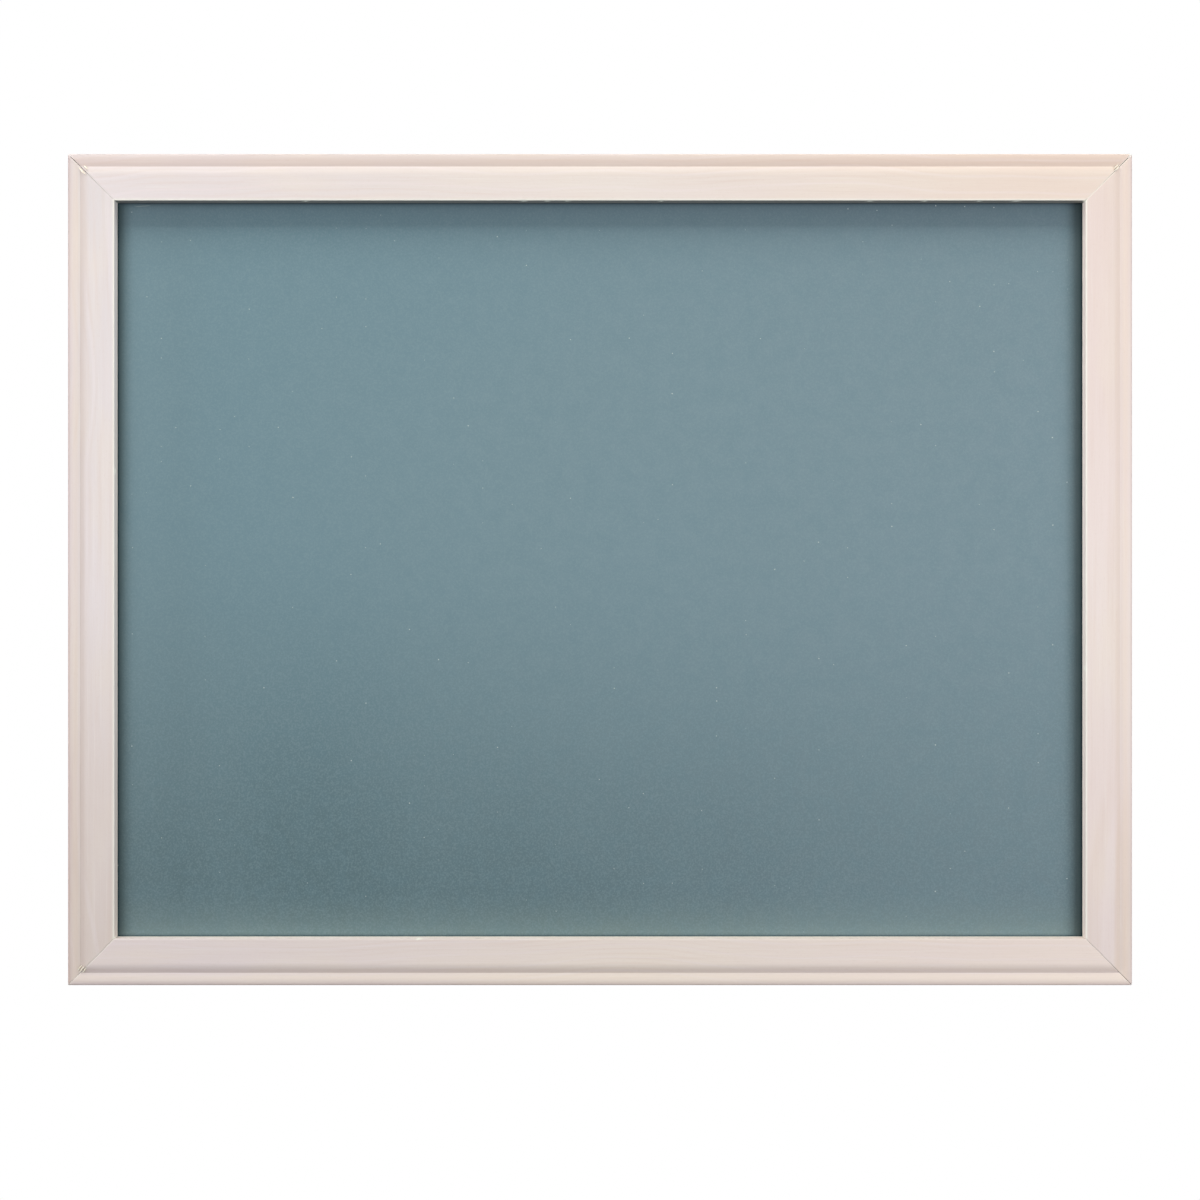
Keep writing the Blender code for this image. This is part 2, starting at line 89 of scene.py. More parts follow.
def moulding_section(arris):
    """The moulding's outline as (out from the sight edge, forward from the back).

    It runs up the lip, round its arris, along the flat, down the shoulder (a circle that ends
    at the shoulder's slope, then a straight fall to the quirk), over the bead (part of a circle),
    down the outer wall, and back through the rabbet.
    """
    lip_back = stock - lip_depth
    shoulder_radius = shoulder_rounded / math.sin(shoulder_slope)
    steep_d = stock - shoulder_radius * (1 - math.cos(shoulder_slope))
    steep_u = flat_width + shoulder_rounded
    shoulder_end = 90 - math.degrees(shoulder_slope)
    quirk_u = flat_width + shoulder_width
    quirk_d = steep_d - (shoulder_width - shoulder_rounded) * math.tan(shoulder_slope)
    crest_u = quirk_u + quirk_to_crest
    bead_d = quirk_d - math.sqrt(bead_radius**2 - quirk_to_crest**2)
    bead_start = 90 + math.degrees(math.asin(quirk_to_crest / bead_radius))
    bead_end = 90 - math.degrees(math.asin((face_width - outer_round - crest_u) / bead_radius))
    bead = round_edge(crest_u, bead_d, bead_radius, bead_start, bead_end, 24)
    wall_d = bead[-1][1] - outer_round
    return np.concatenate([
        round_edge(lip_back_arris, lip_back + lip_back_arris, lip_back_arris, 270, 180, 5),
        straight_run((0, lip_back + 1.4 * lip_back_arris), (0, stock - arris), 7),
        round_edge(arris, stock - arris, arris, 180, 90, 7),
        straight_run((arris, stock), (flat_width, stock), 24)[1:],
        round_edge(flat_width, stock - shoulder_radius, shoulder_radius, 90, shoulder_end, 12),
        straight_run((steep_u, steep_d), (quirk_u, quirk_d), 9)[1:],
        bead,
        round_edge(face_width - outer_round, wall_d, outer_round, 76, 0, 8),
        straight_run((face_width, wall_d), (face_width, back_arris), 8)[1:],
        round_edge(face_width - back_arris, back_arris, back_arris, 0, -90, 4),
        straight_run((face_width - back_arris, 0), (rabbet_width, 0), 14)[1:],
        straight_run((rabbet_width, 0), (rabbet_width, lip_back), 6),
        straight_run((rabbet_width, lip_back), (lip_back_arris, lip_back), 6),
    ])


def wander(along, seed, longest, shortest, count=9):
    """A slow irregular line between about -1 and 1: sines of many lengths with seeded phases."""
    draw = np.random.default_rng(seed)
    length = np.geomspace(longest, shortest, count)[:, None]
    phase = draw.uniform(0, 2 * math.pi, (count, 1))
    weight = draw.uniform(0.5, 1.0, (count, 1))
    waves = weight * np.sin(2 * math.pi * np.atleast_1d(along)[None] / length + phase)
    return waves.sum(0) / math.sqrt(count)


def stations(length):
    """Places along a length from 0 to 1, close together near both ends, where the mitres are."""
    near = np.array(near_mitre) / length
    middle = np.linspace(near[-1], 1 - near[-1], round(length / station_pitch))
    return np.concatenate([near[:-1], middle, 1 - near[-2::-1]])


def grid_faces(rows, columns, close_rows=False, close_columns=False, first=0, turned=False):
    """One face to each cell of a grid of points, whose ends may meet, or turned the other way."""
    row, place = np.meshgrid(
        np.arange(rows - 1 + close_rows), np.arange(columns - 1 + close_columns), indexing="ij"
    )
    after, beside = (row + 1) % rows, (place + 1) % columns
    corners = [(row, place), (after, place), (after, beside), (row, beside)]
    faces = np.stack([first + i * columns + j for i, j in corners], -1).reshape(-1, 4)
    return faces[:, [0, 3, 2, 1] if turned else [0, 1, 2, 3]].tolist()


def new_mesh(name, points, faces):
    """A mesh from points, in a list or a grid, and the faces between them."""
    mesh = bpy.data.meshes.new(name)
    mesh.from_pydata(np.reshape(points, (-1, 3)), [], faces)
    return mesh


def capped_grid(rows):
    """Places and faces of a solid from rows of points that close on themselves, with two caps."""
    count, width = rows.shape[:2]
    ring = np.arange(width)
    caps = [ring.tolist(), (ring[::-1] + (count - 1) * width).tolist()]
    return rows.reshape(-1, 3), grid_faces(count, width, close_columns=True) + caps


def carried(name, rows):
    """The mesh of a capped grid of points."""
    mesh = new_mesh(name, *capped_grid(rows))
    mesh.validate()
    return mesh


def placed(name, data):
    """An object at the origin, in the scene."""
    made = bpy.data.objects.new(name, data)
    bpy.context.scene.collection.objects.link(made)
    return made


def add_piece(name, mesh, body):
    """An object for a finished mesh, riding on a body of the frame."""
    piece = placed(name, mesh)
    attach(piece, body)
    return piece


def turned_out(along, out, forward, turn):
    """Points of the top rail, turned about the frame's centre to where another side is."""
    x = along * math.cos(turn) + out * math.sin(turn)
    z = out * math.cos(turn) - along * math.sin(turn)
    return np.stack([x, -forward, z + frame_centre_z], -1)


def turned_back(points, turn):
    """The along, out and forward places of world points on a side, as if it were the top rail."""
    x, z = points[:, 0], points[:, 2] - frame_centre_z
    along = x * math.cos(turn) - z * math.sin(turn)
    out = x * math.sin(turn) + z * math.cos(turn)
    return along, out, -points[:, 1]


def open_by(ends, out):
    """Half of a mitre's gap, set back along the length. It changes as the square of the way out."""
    inside, outside = ends
    return (inside + (outside - inside) * (out / face_width) ** 2) / 2 * math.sqrt(2)


def make_moulding(node, turn, half_length, to_centre, start_gap, end_gap, nicks, seed):
    """The section carried along X between two mitres and turned to its side of the frame.

    The lip's arris swells a little where it is nicked. Close to a mitre the face falls away by
    a small round, as a sanded edge does.
    """
    plain, wide = moulding_section(0.0), moulding_section(lip_arris)
    along_sight = stations(2 * half_length)[:, None]
    place = (along_sight[:, 0] - 0.5) * 2 * half_length
    swell = 1 + arris_swell * wander(place, seed, *swell_lengths)
    for nick_place, nick_size, nick_length in nicks:
        swell = swell + nick_size / lip_arris * np.exp(-((place - nick_place) / nick_length) ** 2)
    section = plain[None] + swell[:, None, None] * (wide - plain)[None]
    out, forward = section[..., 0], section[..., 1].copy()
    start = -(half_length + out) + open_by(start_gap, out)
    end = half_length + out - open_by(end_gap, out)
    along = start + (end - start) * along_sight
    to_mitre = np.minimum(along - start, end - along) / math.sqrt(2)
    in_front = np.clip((forward - 0.75 * stock) / (0.1 * stock), 0, 1)
    forward -= in_front * mitre_arris * np.exp(-to_mitre / mitre_arris_reach)
    rows = turned_out(along, to_centre + out, forward, turn)
    return carried(node + "_moulding", rows)


quarter = math.pi / 2
gap_top_left = (0.00009, 0.00040)
gap_top_right = (0.00002, 0.00042)
gap_bottom_right = (0.00010, 0.00030)
gap_bottom_left = (0.00008, 0.00008)
top_nicks = (
    (-0.1822, 0.0004, 0.0010), (-0.0470, 0.0006, 0.0012), (-0.0325, 0.0005, 0.0009),
    (-0.0200, 0.0006, 0.0007), (0.0377, 0.0005, 0.0008), (0.1668, 0.0004, 0.0012),
    (0.2008, 0.0006, 0.0010), (0.2347, 0.0004, 0.0008), (0.2575, 0.0005, 0.0016),
    (0.2998, 0.0010, 0.0008),
)
bottom_nicks = ((0.112, 0.0003, 0.0010),)
side_nicks = ((0.061, 0.0003, 0.0012), (-0.2280, 0.0009, 0.0007))
level = (sight_half_width, sight_half_height)
upright = (sight_half_height, sight_half_width)
sides = {
    "top_rail": (0.0, *level, gap_top_left, gap_top_right, top_nicks, 11),
    "right_stile": (quarter, *upright, gap_top_right, gap_bottom_right, side_nicks, 12),
    "bottom_rail": (2 * quarter, *level, gap_bottom_right, gap_bottom_left, bottom_nicks, 13),
    "left_stile": (-quarter, *upright, gap_bottom_left, gap_top_left, side_nicks, 14),
}
mouldings = {}
for node, side in sides.items():
    mouldings[node] = add_piece(node + "_moulding", make_moulding(node, *side), "board")
    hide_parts(node)

# The pockets in the moulding. The V-nails are driven into both sides of each mitre and the
# framer's points into the rabbet wall, and each opens the wood around itself. The screws of the
# hangers have pilot holes.
driven_clearance = 0.00035
pilot_radius = 0.00175
pilot_depth = 0.0107
pilot_overrun = 0.001
same_place = 0.00001


def opened_round(node):
    """The node's solid with all its faces moved out by the clearance.

    Each corner lies on three faces. Its shift is the one whose reach along each of the three
    normals is the clearance.
    """
    work = bmesh.new()
    work.from_mesh(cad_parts[node].data)
    bmesh.ops.remove_doubles(work, verts=work.verts, dist=same_place)
    flat_angle = math.radians(0.5)
    bmesh.ops.dissolve_limit(work, angle_limit=flat_angle, verts=work.verts, edges=work.edges)
    work.normal_update()
    normals = np.array([[face.normal for face in corner.link_faces] for corner in work.verts])
    places = np.array([corner.co for corner in work.verts])
    places += np.linalg.solve(normals, np.full((len(places), 3, 1), driven_clearance))[..., 0]
    faces = [[corner.index for corner in face.verts] for face in work.faces]
    work.free()
    return places, faces


def prism(outline, ends):
    """A solid along Y, as places and faces. Each end is its y and what to scale the outline by.

    The outline is given by its middle (x, z) and the places round that.
    """
    (x, z), around = outline
    rows = [
        np.stack([x + size * around[:, 0], np.full(len(around), y), z + size * around[:, 1]], 1)
        for y, size in ends
    ]
    return capped_grid(np.stack(rows))


def round_hole(x, z, radius, start, end, count):
    """A round hole along Y from start to end, as a prism with so many sides."""
    around = round_edge(0, 0, radius, 0, 360, count + 1)[:-1]
    return prism(((x, z), around), ((start, 1.0), (end, 1.0)))


def pilot_hole(screw):
    """The hole down the axis of a hanger's screw."""
    low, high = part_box(screw)
    x, z = (low[0] + high[0]) / 2, (low[2] + high[2]) / 2
    return round_hole(x, z, pilot_radius, pilot_overrun, -pilot_depth, 32)


def mended(mesh, merge_within=0.0):
    """Merges points that lie together, where a distance is given, and turns all faces outward."""
    work = bmesh.new()
    work.from_mesh(mesh)
    if merge_within:
        bmesh.ops.remove_doubles(work, verts=work.verts, dist=merge_within)
    bmesh.ops.recalc_face_normals(work, faces=work.faces)
    work.to_mesh(mesh)
    work.free()
    return mesh


def cut_out(piece, solids):
    """Takes closed solids, given as places and faces, out of a piece for good."""
    places, faces, count = [], [], 0
    for solid_places, solid_faces in solids:
        places.append(solid_places)
        faces += [[corner + count for corner in face] for face in solid_faces]
        count += len(solid_places)
    cutter = placed("cutter", mended(new_mesh("cutter", np.concatenate(places), faces)))
    change = piece.modifiers.new("cut", "BOOLEAN")
    change.object = cutter
    change.solver = "EXACT"
    bpy.context.view_layer.update()
    graph = bpy.context.evaluated_depsgraph_get()
    result = bpy.data.meshes.new_from_object(piece.evaluated_get(graph))
    result.name = piece.name
    piece.modifiers.clear()
    piece.data = result
    bpy.data.objects.remove(cutter)


def driven_into(node):
    """The V-nails and framer's points that reach into one side of the frame."""
    side = node.split("_")[0]
    nails = [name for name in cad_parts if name.startswith("v_nail_") and side in name]
    points = [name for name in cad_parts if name.startswith("framer_point_" + side)]
    return nails + points


for node, piece in mouldings.items():
    solids = [opened_round(name) for name in driven_into(node)]
    if node.endswith("stile"):
        solids.append(pilot_hole(node.split("_")[0] + "_hanger_screw"))
    cut_out(piece, solids)

# The finish of the moulding: bare basswood, sanded and hardly darker in its latewood. Its figure
# is the log's rings, cut flat, so they show as long arches. Short fibres, soft pink and yellow
# clouds, and paler wood where an edge is rubbed make up the rest. Painted light lies on it too:
# painted highlights on the lip's arrises, painted shade along the quirk, on the top rail's
# shoulder, at the outer edge and on the top lip's wall, and a painted highlight on the bottom
# rail's bead.
# Reaches of the mitre wear, of the painted arris highlights, and of the crest's tone and painted
# light, and the rise of the painted outer edge shade.
edge_reach = 0.00035
lip_reach = 0.0008
wall_reach = 0.0016
crest_light_reach = 0.0024
outer_edge_shade_rise = (0.86, 0.06)
ring_spacing = 0.0031
log_step = 1.7


def place_in(kind, inputs=(), tree=None, **settings):
    """A node of a material, with its settings, and its inputs set or linked by name or number.

    It goes into the tree that is given, or else where the first value linked to it is.
    """
    inputs = dict(inputs)
    linked = (value for value in inputs.values() if isinstance(value, bpy.types.NodeSocket))
    tree = tree or next(linked).id_data
    made = tree.nodes.new("ShaderNode" + kind)
    for name, value in settings.items():
        setattr(made, name, value)
    for name, value in inputs.items():
        if isinstance(value, bpy.types.NodeSocket):
            tree.links.new(value, made.inputs[name])
        else:
            made.inputs[name].default_value = value
    return made


def sum_of(operation, *values):
    """One step of arithmetic in a material."""
    return place_in("Math", enumerate(values), operation=operation).outputs[0]


def tinted(amount, under, over):
    """The colour under, covered by the colour over as far as amount says."""
    mix = place_in("Mix", {0: amount, 6: under, 7: over}, data_type="RGBA")
    return mix.outputs[2]


def ranged(value, low, high, to_low=0.0, to_high=1.0, smooth=True):
    """A value carried from one range to another, held at the ends."""
    inputs = {0: value, 1: low, 2: high, 3: to_low, 4: to_high}
    kind = "SMOOTHSTEP" if smooth else "LINEAR"
    return place_in("MapRange", inputs, interpolation_type=kind).outputs[0]


def grained(coordinates, stretch, detail=2.0, roughness=0.5, offset=(0, 0, 0)):
    """Noise with so many lumps to a metre along each axis."""
    mapping = {"Vector": coordinates, "Scale": stretch, "Location": offset}
    scaled = place_in("Mapping", mapping).outputs[0]
    inputs = {"Vector": scaled, "Scale": 1.0, "Detail": detail, "Roughness": roughness}
    return place_in("TexNoise", inputs).outputs[0]


def new_finish(name, roughness, metallic=0.0, level=0.5):
    """A material with one Principled shader, that shader, and its Object coordinates."""
    material = bpy.data.materials.new(name)
    material.use_nodes = True
    tree = material.node_tree
    shader = tree.nodes["Principled BSDF"]
    shader.inputs["Roughness"].default_value = roughness
    shader.inputs["Metallic"].default_value = metallic
    shader.inputs["Specular IOR Level"].default_value = level
    place = place_in("TexCoord", tree=tree).outputs["Object"]
    return material, shader, place


def finished(shader, colour, rough, height, distance, strength):
    """Links a finish's colour, its roughness where that varies, and its small relief."""
    relief = {"Height": height, "Distance": distance, "Strength": strength}
    normal = place_in("Bump", relief).outputs[0]
    for name, value in (("Base Color", colour), ("Roughness", rough), ("Normal", normal)):
        if value is not None:
            shader.id_data.links.new(value, shader.inputs[name])


def linear(red, green, blue):
    """A colour as a shader takes it, from screen values of 0 to 255."""
    screen = np.array([red, green, blue]) / 255
    value = np.where(screen <= 0.04045, screen / 12.92, ((screen + 0.055) / 1.055) ** 2.4)
    return (*value.tolist(), 1.0)


def overlaid(colour, *tones):
    """A colour under tones. Each is a value, its range, how far it covers at most, and a colour."""
    for value, low, high, most, tone in tones:
        colour = tinted(ranged(value, low, high, 0.0, most), colour, linear(*tone))
    return colour


def basswood(name, turn, pith, tilt, seed, grounds, cloud, second_cloud, tones, quirk_shade, crest_tone_and_light):
    """Bare basswood with its grain along one side of the frame.

    The rings are circles round the pith, a line behind the face that is tilted to it, so that
    the distance to it, over the ring spacing, repeats in long arches. The ground drifts from
    one colour to the next along the length, and the tones lie where the point layers say. Those
    tones are wear with painted arris highlights, painted shade along the quirk, at the outer edge
    and on the lip's wall, and a cream tone on the bead with painted shade and highlight.
    """
    material, shader, place = new_finish(name, roughness=0.62, level=0.35)
    turned = {"Vector": place, "Rotation": (0, -turn, 0), "Location": (seed * log_step, 0, 0)}
    grain = place_in("Mapping", turned).outputs[0]
    parts = place_in("SeparateXYZ", {0: grain}).outputs
    drift = sum_of("SUBTRACT", grained(grain, (4, 3, 3), 2), 0.5)
    wobble = sum_of("SUBTRACT", grained(grain, (22, 120, 120), 3, 0.6), 0.5)
    across = sum_of("MULTIPLY_ADD", drift, 0.055, sum_of("SUBTRACT", parts[2], pith[0]))
    deep = sum_of("SUBTRACT", parts[1], pith[1])
    deep = sum_of("MULTIPLY_ADD", parts[0], tilt, deep)
    squares = sum_of("MULTIPLY_ADD", across, across, sum_of("MULTIPLY", deep, deep))
    radius = sum_of("MULTIPLY_ADD", wobble, 0.0014, sum_of("SQRT", squares))
    turns = sum_of("MULTIPLY", radius, 2 * math.pi / ring_spacing)
    ring = sum_of("MULTIPLY_ADD", sum_of("SINE", turns), 0.5, 0.5)
    patches = grained(grain, (9, 40, 40), 2, offset=(3.1, 0, 7.7))
    showing = ranged(patches, 0.40, 0.66, 0.15, 1.0)
    latewood = sum_of("MULTIPLY", sum_of("POWER", ring, 2.6), showing)
    streak = grained(grain, (10, 520, 520), 4, 0.62)
    fibre = grained(grain, (55, 2600, 2600), 2, 0.6, offset=(1.3, 4.2, 0.7))
    soft = grained(grain, (8, 28, 28), 3, offset=(5, 2, 8))
    other = grained(grain, (12, 45, 45), 3, offset=(1, 9, 4))
    pale_arch = sum_of("SINE", sum_of("MULTIPLY_ADD", turns, 0.37, seed))
    fleck = grained(grain, (420, 900, 900), 2, 0.6, offset=(0.4, 6.1, 2.2))
    middle = seed * log_step - frame_centre_z * math.sin(turn)
    start_part = ranged(parts[0], middle - 0.25, middle - 0.02, smooth=False)
    end_part = ranged(parts[0], middle + 0.02, middle + 0.25, smooth=False)
    start_ground, ground, end_ground = (linear(*tone) for tone in grounds)
    ground = tinted(end_part, tinted(start_part, start_ground, ground), end_ground)
    colour = overlaid(
        ground, (soft, 0.36, 0.66, 0.35, cloud), (other, 0.42, 0.70, 0.35, second_cloud)
    )
    colour = tinted(sum_of("MULTIPLY", latewood, 0.10), colour, linear(214, 182, 160))
    colour = overlaid(
        colour,
        (streak, 0.52, 0.80, 0.14, (208, 178, 160)),
        (streak, 0.46, 0.22, 0.26, (250, 244, 240)),
        (fibre, 0.35, 0.75, 0.10, (216, 194, 180)),
        (pale_arch, 0.80, 1.00, 0.16, (244, 234, 238)),
        (fleck, 0.56, 0.74, 0.10, (200, 176, 162)),
    )
    # The point layers: the quirk shade is painted shade, the crest is a cream tone with painted
    # shade on the top rail's shoulder and a painted highlight on the bottom rail's bead, the outer
    # edge shade and the lip wall shade are painted shade, and the wear carries painted highlights
    # on the lip's arrises.
    for kind, amount, tone in (
        ("quirk_shade", tones[0], quirk_shade),
        ("crest_tone_and_light", tones[1], crest_tone_and_light),
        ("outer_edge_shade", tones[2], (150, 104, 100)),
        ("lip_wall_shade", tones[3], (96, 104, 102)),
        ("wear_and_highlight", 0.85, (253, 251, 240)),
    ):
        layer = place_in("Attribute", tree=shader.id_data, attribute_name=kind).outputs["Fac"]
        colour = tinted(sum_of("MULTIPLY", layer, amount), colour, linear(*tone))
    rough = ranged(streak, 0.2, 0.8, 0.56, 0.70)
    height = sum_of("ADD", streak, sum_of("MULTIPLY", fibre, 0.5))
    finished(shader, colour, rough, height, 0.00007, 0.6)
    return material


def mark_wear_and_painted_light(
    piece, side, start_worn, end_worn, quirk_shade_out, quirk_shade_reach, crest_light_out, outer_edge_shade_reach, rear
):
    """Keeps on each point how far the tones of the wood have come there, from 0 to 1.

    The wear layer is an exponential from each mitre, for wear, with bell curves over the lip's
    front and rear arrises, which are painted highlights, and along its wall at the nicks. The
    quirk shade, which is painted shade, and the crest, a cream tone that is painted shade on the
    top rail's shoulder and a painted highlight on the bottom rail's bead, are bell curves that stop
    at the quirk, on one side of it each. The outer edge shade is painted shade: an exponential from
    the outer edge, that rises evenly near the front of the outer wall. The lip wall shade is
    painted shade on the wall of the lip behind its arris.
    """
    turn, half_length, to_centre, start_gap, end_gap, nicks = side
    points = np.empty(len(piece.data.vertices) * 3)
    piece.data.vertices.foreach_get("co", points)
    along, out, forward = turned_back(points.reshape(-1, 3), turn)
    out = out - to_centre
    start = -(half_length + out) + open_by(start_gap, out)
    end = half_length + out - open_by(end_gap, out)
    in_front = forward > 0.78 * stock
    at_start = start_worn * np.exp(-np.maximum(along - start, 0) / edge_reach)
    at_end = end_worn * np.exp(-np.maximum(end - along, 0) / edge_reach)
    # A painted highlight over the lip's front arris.
    on_lip = (1 - 0.9 * (rear == 1)) * np.exp(-((out / lip_reach) ** 2))
    on_lip = on_lip * (forward > stock - lip_reach)
    on_wall = out < 0.0006
    rear_arris = stock - lip_depth + 0.0010
    # A painted highlight over the lip's rear arris, as far as rear says.
    on_lip += rear * on_wall * np.exp(-(((forward - rear_arris) / wall_reach) ** 2))
    for nick_place, _, nick_length in nicks:
        chip = np.exp(-((along - nick_place) / (1.5 * nick_length)) ** 2)
        on_lip += on_wall * chip * (forward > stock - 0.5 * lip_depth)
    wear_and_highlight = np.clip(in_front * np.maximum(at_start, at_end) + on_lip, 0, 1)
    from_quirk = out - flat_width - shoulder_width
    # Painted shade along the quirk, on one side of it.
    quirk_shade = in_front * np.exp(-(((from_quirk - quirk_shade_out) / quirk_shade_reach) ** 2))
    quirk_shade *= from_quirk * math.copysign(1, quirk_shade_out) > -0.00002
    # The crest: a cream tone on the bead, painted shade on the top rail's shoulder and a painted
    # highlight on the bottom rail's bead.
    crest_tone_and_light = in_front * np.exp(-(((from_quirk - crest_light_out) / crest_light_reach) ** 2))
    crest_tone_and_light *= from_quirk * math.copysign(1, crest_light_out) > 0
    # Painted shade along the outer edge, rising near the front of the outer wall.
    outer_edge_shade = np.clip((forward - outer_edge_shade_rise[0] * stock) / (outer_edge_shade_rise[1] * stock), 0, 1)
    outer_edge_shade *= np.exp((out - face_width) / outer_edge_shade_reach)
    # Painted shade on the lip's wall behind its arris.
    lip_wall_shade = (out < 0.0004) * np.clip((stock - 0.0007 - forward) / 0.0008, 0, 1)
    layers = {"wear_and_highlight": wear_and_highlight, "quirk_shade": quirk_shade, "crest_tone_and_light": crest_tone_and_light, "outer_edge_shade": outer_edge_shade, "lip_wall_shade": lip_wall_shade}
    for kind, amount in layers.items():
        layer = piece.data.attributes.new(kind, "FLOAT", "POINT")
        layer.data.foreach_set("value", amount.astype(np.float32))


def paint(piece, material):
    """Gives a piece its one material."""
    piece.data.materials.clear()
    piece.data.materials.append(material)


def dress(piece, material, sharp_angle=32):
    """Gives a piece its one material, and smooth shading that stops at its edges."""
    paint(piece, material)
    piece.data.shade_smooth()
    piece.data.set_sharp_from_angle(angle=math.radians(sharp_angle))


# Tones are how far the painted quirk shade, the crest's cream tone with painted light, the painted
# outer edge shade and the painted shade on the lip's wall cover at most.
woods = {
    "top_rail": dict(
        pith=(-0.010, 0.052), tilt=0.020, tones=(0.42, 0.22, 0.10, 0.82),
        quirk_shade=(206, 176, 160), crest_tone_and_light=(208, 196, 188),
        grounds=((227, 218, 218), (234, 224, 217), (233, 216, 204)),
        cloud=(232, 219, 215), second_cloud=(238, 226, 212),
    ),
    "right_stile": dict(
        pith=(0.330, 0.090), tilt=0.004, tones=(0.34, 0.20, 0.50, 0.0),
        quirk_shade=(206, 182, 160), crest_tone_and_light=(240, 214, 182),
        grounds=((229, 212, 203), (239, 226, 221), (229, 215, 209)),
        cloud=(238, 220, 217), second_cloud=(240, 227, 213),
    ),
    "bottom_rail": dict(
        pith=(0.250, 0.060), tilt=0.024, tones=(0.32, 0.40, 0.45, 0.0),
        quirk_shade=(204, 180, 170), crest_tone_and_light=(255, 240, 224),
        grounds=((239, 224, 216), (241, 229, 220), (235, 223, 222)),
        cloud=(238, 224, 220), second_cloud=(241, 228, 213),
    ),
    "left_stile": dict(
        pith=(0.290, 0.070), tilt=0.010, tones=(0.60, 0.25, 0.75, 0.05),
        quirk_shade=(188, 172, 164), crest_tone_and_light=(236, 214, 190),
        grounds=((221, 205, 194), (234, 225, 225), (221, 214, 214)),
        cloud=(234, 225, 226), second_cloud=(237, 226, 214),
    ),
}
# Per side: wear at the start and end mitres, the painted quirk shade's centre and reach, the
# crest's centre, the painted outer edge shade's reach, and the rear arris's painted highlight.
tone_places = {
    "top_rail": (0.15, 0.8, 0.0022, 0.0045, -0.0030, 0.0010, 0.0),
    "right_stile": (0.7, 0.1, -0.0008, 0.0022, 0.0034, 0.0007, 0.5),
    "bottom_rail": (0.1, 0.6, -0.0010, 0.0020, 0.0034, 0.0012, 1.0),
    "left_stile": (0.4, 0.15, -0.0008, 0.0035, 0.0030, 0.0012, 0.5),
}
for seed, (node, piece) in enumerate(mouldings.items()):
    mark_wear_and_painted_light(piece, sides[node][:6], *tone_places[node])
    dress(piece, basswood("basswood_" + node, sides[node][0], seed=seed, **woods[node]))

# The V-nails: bright steel strips folded to a V and driven from the back across each mitre, two
# to a corner. The rolled steel has fine scratches along it.


def rolled_steel(name, colour, roughness, scratches):
    """Bright sheet or wire: a metal with fine scratches and a faintly cloudy shine."""
    material, shader, place = new_finish(name, roughness, metallic=1.0)
    scratch = grained(place, scratches, 3, 0.7)
    cloud = grained(place, (260, 260, 260), 3, 0.6)
    dull = overlaid(linear(*colour), (cloud, 0.35, 0.7, 0.35, (150, 150, 148)))
    rough = sum_of("ADD", ranged(scratch, 0.2, 0.8, -0.08, 0.12), roughness)
    rough = sum_of("ADD", rough, ranged(cloud, 0.3, 0.7, 0.0, 0.08))
    finished(shader, dull, rough, scratch, 0.00003, 0.5)
    return material


nail_steel = rolled_steel("nail_steel", (178, 180, 182), 0.38, (900, 4000, 900))
for name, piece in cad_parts.items():
    if name.startswith("v_nail_"):
        paint(piece, nail_steel)

# The writing sheet: a thin hard sheet with a sprayed slate coating, matt and faintly pebbled,
# laid in the rabbet against the back of the lip. The coating holds fine grit, pale specks and a
# thin run near the lip. Its colour also carries painted light: lighter towards the middle, darker
# towards the bottom, painted shade in bands beside the lip, and painted bounce light along the
# bottom.
# Reaches of the painted shade beside the lip and of the painted contact shadow, and the span of the
# soft step where the painted shadow under the top lip ends.
lip_shade_reach = 0.0055
contact_shadow_reach = 0.0008
shadow_step_start, shadow_step_end = 0.0128, 0.0158
run_place = (-0.2844, 0.0893)
run_wave, run_swing = 420.0, 0.00025
cells_per_metre = 110.0


